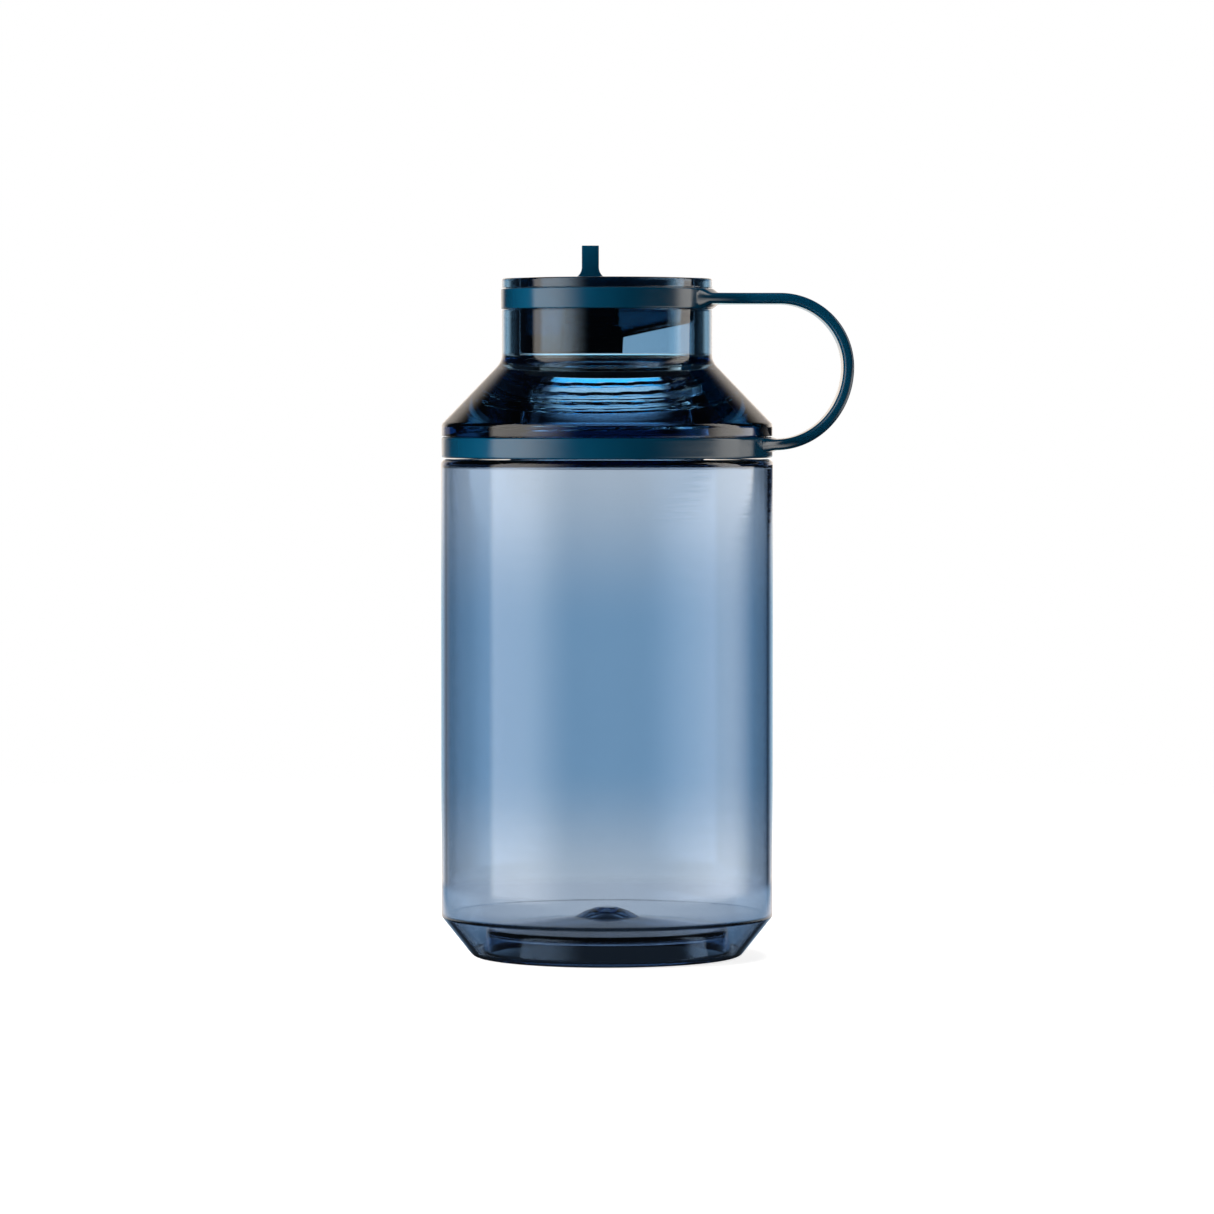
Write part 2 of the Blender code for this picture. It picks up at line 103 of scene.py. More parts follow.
# Screw thread
THREAD_LEAD = 4.5 * MM
THREAD_BASE = 2.0 * MM
THREAD_CREST = 1.0 * MM
THREAD_FADE = 0.12
BODY_THREAD = {"wall": MOUTH_R, "height": 1.3 * MM, "start": 195.0 * MM, "turns": 2.625, "phase": 0.0}
LID_BORE_R = 36.9 * MM
LID_THREAD = {"wall": LID_BORE_R, "height": -1.4 * MM, "start": 192.8 * MM, "turns": 1.5, "phase": math.pi}

# Lid
SKIRT_TOP_Z = 195.7 * MM
NECK_R = 38.6 * MM
NECK_BORE_R = 32.2 * MM
CONE_TOP_Z = 218.7 * MM
SEAT_Z = 213.3 * MM
BORE_LEAD_IN = 0.8 * MM
GAP = 0.3 * MM
UPPER_BAND_Z = (237.8 * MM, 245.3 * MM)
UPPER_BAND_R = NECK_R + 0.3 * MM
LOWER_BAND_Z = (183.4 * MM, 191.0 * MM)
BAND_DEPTH = 1.4 * MM
SEAL_IN_R = 32.6 * MM
SEAL_DIP = 0.35 * MM
SEAL_EDGE = 0.3 * MM
DECK_WALL = 1.6 * MM
DECK_FLOOR_Z = 226.6 * MM
DECK_SLOPE = 0.235
DECK_SLOPE_X = -4.0 * MM
SPOUT_X = -6.1 * MM
SPOUT_R = 9.2 * MM
SPOUT_OUT_R = 11.4 * MM
SPOUT_Z = 231.7 * MM
BOSS_Z = 221.4 * MM
BOSS_END_X = (5.3 * MM, 5.6 * MM)

# Stopper
COVER_Z = (244.6 * MM, 249.3 * MM)
PLUG_R = 11.0 * MM
PLUG_TIP_R = 8.8 * MM
PLUG_STEP_Z = 232.0 * MM
RIB_TOPS_Z = (242.0 * MM, 238.6 * MM, 235.2 * MM)  # sealing ribs round the plug
RIB_HALF = 0.8 * MM
RIB_DEPTH = 0.6 * MM
TAB_THICK = 6.25 * MM
TAB_DEEP = 17.0 * MM
TAB_FLARE = 4.4 * MM

# Strap
STRAP_THICK = 4.0 * MM
STRAP_WIDE = 24.0 * MM
STRAP_OUT_X = STRAP_FAR_X - STRAP_THICK / 2
STRAP_MID_Z = 216.6 * MM
STRAP_TOP_Z = 241.7 * MM
STRAP_LOW_Z = 188.2 * MM
STRAP_LOW_X = 61.9 * MM
UPPER_END_X = 26.0 * MM
LOWER_END_X = 50.0 * MM
UPPER_FLARE_X = (54.0 * MM, 31.0 * MM)
LOWER_FLARE_X = (72.0 * MM, 56.5 * MM)
FLARE_WIDE = 45.0 * MM
UPPER_ROOT_THICK = 7.4 * MM
LOWER_ROOT_THICK = 5.4 * MM
ROOT_REACH = 2.5 * MM
ROOT_FULL = -0.4 * MM  # the root is thickest this far from the band's surface, inside it
CORE_INSET = 0.1 * MM  # the strap's ends reach this far into the bands
CORE_BELOW = 5.0 * MM  # how far the core cut out of the strap goes past each band
CORE_ABOVE = 3.0 * MM

# Materials
PLASTIC_IOR = 1.54
SILICONE_IOR = 1.56
BODY_ABSORB = ((0.105, 0.365, 0.627), 300)  # colour let through, and density
LID_ABSORB = ((0.143, 0.480, 0.657), 70)
DECK_ABSORB = ((0.07, 0.38, 0.50), 1250)
# Painted shade on the clear lid: its neck is coloured darker above about 221 mm, and its skirt darker below
# about 194 mm.
LID_PAINTED_SHADES = (  # painted shade: the heights where each begins and is full, and its darker colour
    (220.0 * MM, 222.0 * MM, (0.55, 0.71, 0.86)),
    (194.9 * MM, 194.0 * MM, (0.19, 0.27, 0.44)),
)
TEAL = ((0.0006, 0.040, 0.090), (0.0010, 0.046, 0.100))  # fresh and handled
SEAL_DARK = ((0.002, 0.012, 0.022), (0.004, 0.018, 0.030))

# Studio. Levels are the up part of a direction, and bearings are degrees round from the camera's side.
# A pair of them says where a change begins and is full, and four where it begins, is full, fades and ends.
CAMERA_AT = (-2.133, 0.208)  # along Y and Z: in X it is in line with the jug's axis
CAMERA_AIM_Z = 0.1284
CAMERA_LENS = 172
CAMERA_TIP = 0.0373  # how far the camera looks down in the main view: the sine of the angle
BODY_TO_BAND = (-0.026, -0.014)  # levels between which the light goes from the body's to the lower band's
BAND_TO_NECK = (-0.006, 0.004)
DARK_ROOM = (0.010, 0.012, 0.016)
BACKDROP = (1.25, 1.12, 1.0)
BACKDROP_LOW = (0.50, 0.70, 0.82)
BACKDROP_DIP = (-0.0885, -0.064, -0.042, -0.0095)  # levels of the darker strip
BACKDROP_STEEP = (0.45, 2.7, 3.5)
STEEPEST = (-0.36, -0.42)
STEEPEST_BEARING = (166.0, 171.0)
BACKDROP_WIDE = (150.0, 166.0)  # bearings where the backdrop begins and is full
BACKDROP_NARROW = (163.0, 175.0)
NARROW_BELOW = (-0.14, -0.30)
BACKDROP_TOP = (0.75, 0.35)
UPPER_DIMMING = (0.04, 0.22, 1.0, 0.55)  # two levels, and the backdrop's strength at each
BAND_DELAY = 12.0  # how much later the backdrop begins at the right for the lower band, in degrees
NECK_LEAD = 5.0  # how much earlier it begins for the neck
BAND_DELAY_SIDE = (0.0, 20.0)
PANEL_COLOUR = (1.0, 0.95, 0.88)
PANEL_HEIGHT = (-0.6, -0.4, 0.55, 0.8)
PANEL_DIP = 0.36  # how much weaker the panels are at the level of the backdrop's dip
LEFT_PANEL = 2.7
LEFT_BEARING = (-91.0, -84.0, -62.0, -20.0)
LEFT_FILL = 0.30
FILL_BEARING = (-170.0, -155.0, -147.0, -139.0)
FILL_TOP = (0.004, -0.004)  # levels where it ends and is full
RIGHT_PANEL = 3.1
RIGHT_START = (25.0, 66.0)  # bearings for the body and for the lower band
RIGHT_START_LEVELS = (-0.024, -0.012)
RIGHT_FULL = 91.0
RIGHT_LAST = (92.0, 120.0)
RIGHT_END = (125.0, 107.0)  # bearings for the body and the band, and for the neck
NECK_START = 10.0  # how much later the panel begins for the neck
NECK_LAST = 16.0  # how much earlier it starts to fade
SOFT_LEFT = 4.6  # how much stronger each panel is where its light is scattered
SOFT_RIGHT = 0.5
LAMP_POWER = 15.0
LAMP_SIZE = 0.9
LAMP_Z = 1.7
LIGHT_BOUNCES = 28
GLOSSY_BOUNCES = 12
CLEAR_BOUNCES = 16

# Floor. Distances are from the jug's axis, and a pair says where a change begins and is full.
FLOOR_R = 1.3
FLOOR_Z = -0.2 * MM
FLOOR_GLOW = 0.80
FLOOR_FADE = (0.45, 1.0)
FLOOR_NEAR = (0.02, 0.025, 0.03)  # radiances as the jug sees them
FLOOR_SIDE = (0.34, 0.47, 0.58)
FLOOR_FAR = (1.1, 1.0, 0.93)
FLOOR_BEYOND = (2.4, 2.5, 2.2)
FOOT_SHADE = (0.07, 0.17)  # where the floor goes from near to far
SHADE_SHRINK = 4.0  # how fast that shade draws in as the camera looks further down
BEHIND_JUG = (-0.02, 0.03)
FAR_ASIDE = (0.19, 0.11)
SIDE_ASIDE = (0.026, 0.056)
BEYOND_FROM = (0.325, 0.345)
BEYOND_ASIDE = (0.14, 0.06)
LEVEL_END = (0.30, 0.36)  # where the floor ends for level and for steep directions
STEEP_END = (0.3675, 0.3720)
STEEP_FROM = (-0.14, -0.32)
STEEP_SPREAD = 1.6


# ---------------------------------------------------------------- outlines and turned meshes


def rounded(corners, closed=True):
    """An outline through (radius, height, fillet) corners, each fillet an arc of short chords."""
    points = []
    last = len(corners) - 1
    for i, (radius, height, fillet) in enumerate(corners):
        here = Vector((radius, height))
        if fillet == 0 or (not closed and i in (0, last)):
            points.append(here)
            continue
        back = (Vector(corners[i - 1][:2]) - here).normalized()
        ahead = (Vector(corners[(i + 1) % len(corners)][:2]) - here).normalized()
        half = back.angle(ahead) / 2
        centre = here + (back + ahead).normalized() * fillet / math.sin(half)
        spoke = here + back * fillet / math.tan(half) - centre
        sweep = math.copysign(math.pi - 2 * half, back.cross(ahead))
        chords = max(1, round(abs(sweep) / FILLET_CHORD))
        for k in range(chords + 1):
            points.append(centre + Matrix.Rotation(-sweep * k / chords, 2) @ spoke)
    return points


def with_rows(points, closed, thread):
    """The outline with more points on its straight runs: near the ends, and many along a threaded wall."""
    made = []
    count = len(points)
    for i, here in enumerate(points):
        made.append(here)
        if i == count - 1 and not closed:
            break
        ahead = points[(i + 1) % count]
        run = (ahead - here).length
        if run < 3 * HOLD:
            continue
        threaded = thread and max(abs(here.x - thread["wall"]), abs(ahead.x - thread["wall"])) < ON_WALL
        pieces = math.ceil(run / (THREAD_PITCH if threaded else ROW_PITCH))
        places = {HOLD / run, 1 - HOLD / run}
        places.update(k / pieces for k in range(1, pieces))
        made.extend(here.lerp(ahead, place) for place in sorted(places))
    return made


def ridge(thread, angle, height):
    """How far the threaded wall is raised, for arrays of angles and heights."""
    raised = np.zeros_like(angle)
    first = 2 * math.pi * thread["start"] / THREAD_LEAD + thread["phase"]
    part = ((angle - first) / (2 * math.pi)) % 1.0
    for turn in range(math.ceil(thread["turns"])):
        along = part + turn
        away = np.abs(height - thread["start"] - THREAD_LEAD * along)
        side = np.clip((THREAD_BASE / 2 - away) / (THREAD_BASE / 2 - THREAD_CREST / 2), 0, 1)
        fade = np.clip(np.minimum(along, thread["turns"] - along) / THREAD_FADE, 0, 1)
        shape = side * side * (3 - 2 * side) * fade
        raised = np.maximum(raised, shape)
    return raised * thread["height"]


def turned_mesh(name, outline, closed, steps, thread):
    """The outline swept once round the Z axis, as one closed surface."""
    rows = with_rows(outline, closed, thread)
    radius = np.array([p.x for p in rows])[:, None]
    height = np.array([p.y for p in rows])[:, None] + np.zeros((1, steps))
    angle = 2 * math.pi * np.arange(steps)[None, :] / steps + np.zeros_like(height)
    radii = radius + np.zeros_like(height)
    if thread:
        on_wall = np.abs(radii - thread["wall"]) < ON_WALL
        radii = radii + np.where(on_wall, ridge(thread, angle, height), 0)
    verts = np.stack([radii * np.cos(angle), radii * np.sin(angle), height], axis=-1).reshape(-1, 3)
    faces = []
    count = len(rows)
    for i in range(count if closed else count - 1):
        low, high = i * steps, (i + 1) % count * steps
        for j in range(steps):
            k = (j + 1) % steps
            faces.append((low + j, high + j, high + k, low + k))
    mesh = bpy.data.meshes.new(name)
    mesh.from_pydata(verts.tolist(), [], faces)
    work = bmesh.new()
    work.from_mesh(mesh)
    bmesh.ops.remove_doubles(work, verts=work.verts, dist=WELD)
    bmesh.ops.recalc_face_normals(work, faces=work.faces)
    work.to_mesh(mesh)
    work.free()
    return mesh


def add(name, mesh, x=0.0):
    """An object for the mesh, standing x from the jug's axis."""
    obj = bpy.data.objects.new(name, mesh)
    bpy.context.scene.collection.objects.link(obj)
    obj.location.x = JUG_X + x
    return obj


def turned(name, corners, closed=True, x=0.0, steps=STEPS, thread=None):
    return add(name, turned_mesh(name, rounded(corners, closed), closed, steps, thread), x)


def boolean(obj, operation, other):
    """Joins the other object to this one, or cuts it away, for good."""
    step = obj.modifiers.new(operation, "BOOLEAN")
    step.operation = operation
    step.solver = "EXACT"
    step.object = other
    apply_modifiers(obj)
    bpy.data.objects.remove(other)


def apply_modifiers(obj):
    bpy.context.view_layer.update()
    graph = bpy.context.evaluated_depsgraph_get()
    mesh = bpy.data.meshes.new_from_object(obj.evaluated_get(graph))
    obj.modifiers.clear()
    obj.data = mesh


def finish(obj, look, node, body):
    """Shading, material, and the piece's place in the frame."""
    obj.data.shade_smooth()
    obj.data.set_sharp_from_angle(angle=SHARP_ANGLE)
    obj.data.materials.clear()
    obj.data.materials.append(look)
    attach(obj, body)
    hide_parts(node)
    return obj


# ---------------------------------------------------------------- materials


def new_node(tree, kind, values=None, **settings):
    """A node with its settings, and with each input set to a value or linked to a socket."""
    made = tree.nodes.new(kind)
    for key, value in settings.items():
        setattr(made, key, value)
    for key, value in (values or {}).items():
        if isinstance(value, bpy.types.NodeSocket):
            tree.links.new(value, made.inputs[key])
        else:
            made.inputs[key].default_value = value
    return made


def calc(tree, operation, a, b=0.0):
    return new_node(tree, "ShaderNodeMath", {0: a, 1: b}, operation=operation).outputs[0]


def ramp(tree, value, start, end, low=0.0, high=1.0):
    """Eases from low to high as the value goes from start to end."""
    values = {"Value": value, "From Min": start, "From Max": end, "To Min": low, "To Max": high}
    made = new_node(tree, "ShaderNodeMapRange", values, interpolation_type="SMOOTHSTEP")
    return made.outputs["Result"]


def blend_colours(tree, factor, a, b):
    made = new_node(tree, "ShaderNodeMix", data_type="RGBA")
    for index, value in ((0, factor), (6, a), (7, b)):
        if isinstance(value, bpy.types.NodeSocket):
            tree.links.new(value, made.inputs[index])
        else:
            made.inputs[index].default_value = value if index == 0 else (*value, 1)
    return made.outputs[2]


def object_point(tree, scale=(1, 1, 1)):
    """The shaded point in the piece's own metres, stretched by the scale."""
    place = new_node(tree, "ShaderNodeTexCoord").outputs["Object"]
    return new_node(tree, "ShaderNodeMapping", {"Vector": place, "Scale": scale}).outputs["Vector"]


def noise(tree, point, scale, detail=3.0, rough=0.5):
    values = {"Vector": point, "Scale": scale, "Detail": detail, "Roughness": rough}
    return new_node(tree, "ShaderNodeTexNoise", values).outputs["Fac"]


def empty_material(name):
    made = bpy.data.materials.new(name)
    made.use_nodes = True
    made.node_tree.nodes.clear()
    return made, made.node_tree


def clear_plastic(name, absorb, flow, deep_tint, painted_shades=()):
    """Clear tinted copolyester. Its walls absorb light, and faint flow marks from the mould bend it. Past
    each given height its colour is painted darker, as painted shade.
    """
    made, tree = empty_material(name)
    cloud = noise(tree, object_point(tree), 22.0, 2.0)
    tone_and_painted_shade = blend_colours(tree, cloud, (1.0, 1.0, 1.0), deep_tint)
    level = new_node(tree, "ShaderNodeSeparateXYZ", {"Vector": object_point(tree)}).outputs["Z"]
    # Painted shade: the colour goes darker past each given height.
    for start, full, colour in painted_shades:
        tone_and_painted_shade = blend_colours(tree, ramp(tree, level, start, full), tone_and_painted_shade, colour)
    smear = noise(tree, object_point(tree, (30, 30, 340)), 1.0, 3.0, 0.6)
    swirl = noise(tree, object_point(tree), 60.0, 2.0)
    height = calc(tree, "ADD", smear, swirl)
    bump = new_node(tree, "ShaderNodeBump", {"Height": height, "Strength": flow, "Distance": 0.1 * MM})
    polish = ramp(tree, noise(tree, object_point(tree), 140.0, 4.0), 0.35, 0.75, 0.0, 0.03)
    values = {
        "Base Color": tone_and_painted_shade,
        "Roughness": polish,
        "IOR": PLASTIC_IOR,
        "Transmission Weight": 1.0,
        "Normal": bump.outputs["Normal"],
    }
    shader = new_node(tree, "ShaderNodeBsdfPrincipled", values)
    colour, density = absorb
    volume = new_node(tree, "ShaderNodeVolumeAbsorption", {"Color": (*colour, 1), "Density": density})
    links = {"Surface": shader.outputs["BSDF"], "Volume": volume.outputs["Volume"]}
    new_node(tree, "ShaderNodeOutputMaterial", links)
    return made


def silicone(name, colours, rough):
    """Satin silicone: a fine moulded grain, slightly uneven sheen and a few dull handling marks."""
    made, tree = empty_material(name)
    cloud = ramp(tree, noise(tree, object_point(tree), 45.0, 3.0), 0.3, 0.7)
    shade = blend_colours(tree, cloud, *colours)
    grain = noise(tree, object_point(tree), 2600.0, 2.0, 0.6)
    ripple = noise(tree, object_point(tree, (1, 1, 3)), 90.0, 2.0)
    height = calc(tree, "ADD", calc(tree, "MULTIPLY", grain, 0.35), ripple)
    bump = new_node(tree, "ShaderNodeBump", {"Height": height, "Strength": 0.22, "Distance": 0.06 * MM})
    uneven = ramp(tree, noise(tree, object_point(tree), 110.0, 4.0), 0.3, 0.75, rough - 0.02, rough + 0.04)
    values = {
        "Base Color": shade,
        "Roughness": uneven,
        "IOR": SILICONE_IOR,
        "Normal": bump.outputs["Normal"],
    }
    shader = new_node(tree, "ShaderNodeBsdfPrincipled", values)
    new_node(tree, "ShaderNodeOutputMaterial", {"Surface": shader.outputs["BSDF"]})
    return made


# ---------------------------------------------------------------- pieces


def bottle(look):
    inner_r = BODY_R - BODY_WALL
    foot_shift = BODY_WALL * math.hypot(1, FOOT_SLOPE)
    inner_foot_z = FOOT_TOP_Z + (foot_shift - BODY_WALL) / FOOT_SLOPE
    mouth_in = MOUTH_R - MOUTH_WALL
    inner_top = SHOULDER_Z - BODY_WALL
    corners = [
        (0, NUB_TOP_Z, 0),
        (3.6 * MM, NUB_TOP_Z, 0.8 * MM),
        (7.7 * MM, 16.6 * MM, 2.0 * MM),
        (NUB_R, NUB_BASE_Z, 0.9 * MM),
        (PUNT_R, PUNT_Z, 2.0 * MM),
        (PUNT_R + PUNT_DRAFT, FOOT_CHANNEL_Z, 1.0 * MM),
        (FOOT_R + FOOT_SLOPE * FOOT_CHANNEL_Z - foot_shift, FOOT_CHANNEL_Z, 1.2 * MM),
        (inner_r, inner_foot_z, 1.2 * MM),
        (inner_r, inner_top, 1.4 * MM),
        (mouth_in, inner_top, 1.0 * MM),
        (mouth_in, LIP_Z, 0.5 * MM),
        (MOUTH_R, LIP_Z, 0.8 * MM),
        (MOUTH_R, SHOULDER_Z, 1.5 * MM),
        (BODY_R, SHOULDER_Z, 2.2 * MM),
        (BODY_R, FOOT_TOP_Z, 1.5 * MM),
        (FOOT_R, 0, 3.0 * MM),
        (PUNT_R, 0, 0.8 * MM),
        (PUNT_R - PUNT_DRAFT, PUNT_Z - BASE_WALL, 1.5 * MM),
        (NUB_R - 1.4 * MM, NUB_BASE_Z - BASE_WALL, 1.0 * MM),
        (6.0 * MM, 15.0 * MM, 1.0 * MM),
        (0, 15.8 * MM, 0),
    ]
    body = turned("bottle", corners, closed=False, thread=BODY_THREAD)
    return finish(body, look, "bottle_body", "bottle")


def screw_lid(look):
    groove = UPPER_BAND_R - BAND_DEPTH - GAP
    low_groove = SKIRT_R - BAND_DEPTH - GAP
    corners = [
        (NECK_BORE_R, RIM_Z, 0.7 * MM),
        (NECK_R, RIM_Z, 0.6 * MM),
        (NECK_R, UPPER_BAND_Z[1] + GAP, FINE_EDGE),
        (groove, UPPER_BAND_Z[1] + GAP, FINE_EDGE),
        (groove, UPPER_BAND_Z[0] - GAP, FINE_EDGE),
        (NECK_R, UPPER_BAND_Z[0] - GAP, FINE_EDGE),
        (NECK_R, CONE_TOP_Z, 6.5 * MM),
        (SKIRT_R, SKIRT_TOP_Z, 2.2 * MM),
        (SKIRT_R, LOWER_BAND_Z[1] + GAP, FINE_EDGE),
        (low_groove, LOWER_BAND_Z[1] + GAP, FINE_EDGE),
        (low_groove, LID_Z, FINE_EDGE),
        (LID_BORE_R + BORE_LEAD_IN, LID_Z, FINE_EDGE),
        (LID_BORE_R, LID_Z + BORE_LEAD_IN, FINE_EDGE),
        (LID_BORE_R, SEAT_Z, 0.5 * MM),
        (NECK_BORE_R, SEAT_Z, 0.4 * MM),
    ]
    return finish(turned("thick_lid", corners, thread=LID_THREAD), look, "screw_lid", "lid")


def gasket(look):
    """A flat ring with two rounded lips on each face."""
    low, high = GASKET_LOW.z, GASKET_HIGH.z
    lip = (SEAL_OUT_R - SEAL_IN_R) / 4
    corners = [
        (SEAL_IN_R, high, SEAL_EDGE),
        (SEAL_IN_R + lip, high, SEAL_EDGE),
        (SEAL_IN_R + 2 * lip, high - SEAL_DIP, SEAL_EDGE),
        (SEAL_IN_R + 3 * lip, high, SEAL_EDGE),
        (SEAL_OUT_R, high, SEAL_EDGE),
        (SEAL_OUT_R, low, SEAL_EDGE),
        (SEAL_IN_R + 3 * lip, low, SEAL_EDGE),
        (SEAL_IN_R + 2 * lip, low + SEAL_DIP, SEAL_EDGE),
        (SEAL_IN_R + lip, low, SEAL_EDGE),
        (SEAL_IN_R, low, SEAL_EDGE),
    ]
    return finish(turned("gasket", corners), look, "lid_gasket", "lid_seal")


def shape_below(obj, split_z, bends, rise):
    """Raises every point below split_z by rise(x), which may only change its slope at the bends."""
    work = bmesh.new()
    work.from_mesh(obj.data)
    for bend in bends:
        geom = work.verts[:] + work.edges[:] + work.faces[:]
        bmesh.ops.bisect_plane(work, geom=geom, plane_co=(bend, 0, 0), plane_no=(1, 0, 0))
    for vert in work.verts:
        if vert.co.z < split_z:
            vert.co.z += rise(vert.co.x)
    work.to_mesh(obj.data)
    work.free()


def floor_rise(x):
    return DECK_SLOPE * max(0.0, x - DECK_SLOPE_X)


def underside_rise(x):
    if x < sum(BOSS_END_X) / 2:
        return 0.0
    return DECK_FLOOR_Z - DECK_WALL + floor_rise(x) - BOSS_Z


def deck(look):
    top_z = DECK_HIGH.z
    room_r = DECK_R - DECK_WALL
    split_z = (DECK_FLOOR_Z + top_z) / 2
    outside = [(0, top_z, 0), (DECK_R, top_z, 0.5 * MM), (DECK_R, BOSS_Z, 1.2 * MM), (0, BOSS_Z, 0)]
    cup = turned("drinking_deck", outside, closed=False, steps=DECK_STEPS)
    shape_below(cup, split_z, BOSS_END_X, underside_rise)
    high = top_z + CUT_MARGIN
    inside = [(0, high, 0), (room_r, high, 0), (room_r, DECK_FLOOR_Z, 1.6 * MM), (0, DECK_FLOOR_Z, 0)]
    room = turned("room", inside, closed=False, steps=DECK_STEPS)
    shape_below(room, split_z, (DECK_SLOPE_X,), floor_rise)
    boolean(cup, "DIFFERENCE", room)
    low = DECK_FLOOR_Z - DECK_WALL / 2
    collar = [(0, SPOUT_Z, 0), (SPOUT_OUT_R, SPOUT_Z, 0.6 * MM), (SPOUT_OUT_R, low, 0), (0, low, 0)]
    boolean(cup, "UNION", turned("collar", collar, closed=False, x=SPOUT_X, steps=SPOUT_STEPS))
    low, high = BOSS_Z - CUT_MARGIN, SPOUT_Z + CUT_MARGIN
    hole = [(0, high, 0), (SPOUT_R, high, 0), (SPOUT_R, low, 0), (0, low, 0)]
    boolean(cup, "DIFFERENCE", turned("hole", hole, closed=False, x=SPOUT_X, steps=SPOUT_STEPS))
    return finish(cup, look, "drink_deck", "lid")


def tab_outline():
    """The pull tab seen from the front: a post whose foot flares out on both sides."""
    half = TAB_THICK / 2
    base_z = COVER_Z[1] - 0.6 * MM
    side = [(half, STOPPER_HIGH.z)]
    for k in range(13):
        a = math.radians(90) * k / 12
        side.append((half + TAB_FLARE * (1 - math.cos(a)), base_z + TAB_FLARE * (1 - math.sin(a))))
    side.append((half + TAB_FLARE, base_z - 0.5 * MM))
    return side + [(-x, z) for x, z in reversed(side)]


def pull_tab():
    work = bmesh.new()
    ring = [work.verts.new((x, -TAB_DEEP / 2, z)) for x, z in tab_outline()]
    face = work.faces.new(ring)
    far = bmesh.ops.extrude_face_region(work, geom=[face])["geom"]
    far_verts = [part for part in far if isinstance(part, bmesh.types.BMVert)]
    bmesh.ops.translate(work, verts=far_verts, vec=(0, TAB_DEEP, 0))
    bmesh.ops.recalc_face_normals(work, faces=work.faces)
    mesh = bpy.data.meshes.new("tab")
    work.to_mesh(mesh)
    work.free()
    tab = add("tab", mesh, SPOUT_X)
    edge = tab.modifiers.new("Soft edges", "BEVEL")
    edge.width = 0.7 * MM
    edge.segments = 5
    edge.limit_method = "ANGLE"
    edge.angle_limit = math.radians(50)
    apply_modifiers(tab)
    return tab


def stopper(look):
    low, high = COVER_Z
    groove = 0.5 * MM
    corners = [
        (0, high + 0.3 * MM, 0),
        (COVER_R - 3.4 * MM, high + 0.05 * MM, 0.6 * MM),
        (COVER_R, high - 0.05 * MM, 1.0 * MM),
        (COVER_R, low, 0.8 * MM),
        (COVER_R - 3.0 * MM, low, 0.5 * MM),
        (COVER_R - 3.8 * MM, low + groove, 0.4 * MM),
        (0, low + groove, 0),
    ]
    cover = turned("drinking_stopper", corners, closed=False)
    plug_top_z, root_r = low + 1.2 * MM, PLUG_R - RIB_DEPTH
    plug = [(0, plug_top_z, 0), (root_r, plug_top_z, 0)]
    for z in RIB_TOPS_Z:
        plug.append((root_r, z, 0.5 * MM))
        plug.append((PLUG_R, z - RIB_HALF, 0.4 * MM))
        plug.append((root_r, z - 2 * RIB_HALF, 0.5 * MM))
    plug += [
        (PLUG_R - 0.2 * MM, PLUG_STEP_Z, 0.5 * MM),
        (PLUG_TIP_R, PLUG_STEP_Z, 0.4 * MM),
        (PLUG_TIP_R, STOPPER_LOW.z, 1.2 * MM),
        (0, STOPPER_LOW.z, 0),
    ]
    boolean(cover, "UNION", turned("plug", plug, closed=False, x=SPOUT_X, steps=SPOUT_STEPS))
    boolean(cover, "UNION", pull_tab())
    return finish(cover, look, "stopper", "stopper")


def strap_path():
    """Points along the strap's centre line in the XZ plane, from the upper band to the lower."""
    upper, lower = STRAP_TOP_Z - STRAP_MID_Z, STRAP_MID_Z - STRAP_LOW_Z
    across = STRAP_OUT_X - STRAP_LOW_X
    bend_x = STRAP_OUT_X - upper
    points = []
    level = 60
    for k in range(level):
        points.append((UPPER_END_X + (bend_x - UPPER_END_X) * k / level, STRAP_TOP_Z))
    bend = 56
    for k in range(bend):
        a = math.radians(90) * (1 - k / bend)
        points.append((bend_x + upper * math.cos(a), STRAP_MID_Z + upper * math.sin(a)))
    for k in range(bend):
        a = math.radians(90) * k / bend
        points.append((STRAP_LOW_X + across * math.cos(a), STRAP_MID_Z - lower * math.sin(a)))
    level = 24
    for k in range(level + 1):
        points.append((STRAP_LOW_X + (LOWER_END_X - STRAP_LOW_X) * k / level, STRAP_LOW_Z))
    return np.array(points)


def strap_section():
    """Rounded rectangle: width along Y, thickness across it."""
    half_w, half_t = STRAP_WIDE / 2, STRAP_THICK / 2
    corner = 1.5 * MM
    points = []
    for sx, sy, first in ((1, 1, 0), (-1, 1, 90), (-1, -1, 180), (1, -1, 270)):
        for k in range(7):
            a = math.radians(first + 15 * k)
            wide = sx * (half_w - corner) + corner * math.cos(a)
            points.append((wide, sy * (half_t - corner) + corner * math.sin(a)))
        if first in (0, 180):  # points across each broad face
            start = half_w - corner
            points += [(sx * start * (1 - 2 * k / 20), sy * half_t) for k in range(1, 20)]
    return np.array(points)


def eased(value, start, end):
    part = np.clip((value - start) / (end - start), 0, 1)
    return part * part * (3 - 2 * part)


def flare(points):
    """Widens the strap in a curve, and thickens it, where it runs into each band."""
    x, y, z = points.T
    for over, band_r, centre_z, thick, ends in (
        (z > STRAP_MID_Z, UPPER_BAND_R, STRAP_TOP_Z, UPPER_ROOT_THICK, UPPER_FLARE_X),
        (z <= STRAP_MID_Z, SKIRT_R, STRAP_LOW_Z, LOWER_ROOT_THICK, LOWER_FLARE_X),
    ):
        near = np.clip((x - ends[0]) / (ends[1] - ends[0]), 0, 1)
        wide = y * (1 + (FLARE_WIDE / STRAP_WIDE - 1) * near**2)
        y = np.where(over, wide, y)
        outside = np.hypot(x, y) - band_r
        root = eased(outside, ROOT_REACH, ROOT_FULL) * (x < band_r + ROOT_REACH)
        tall = centre_z + (z - centre_z) * (1 + (thick / STRAP_THICK - 1) * root)
        z = np.where(over, tall, z)
    return np.stack([x, y, z], axis=-1)


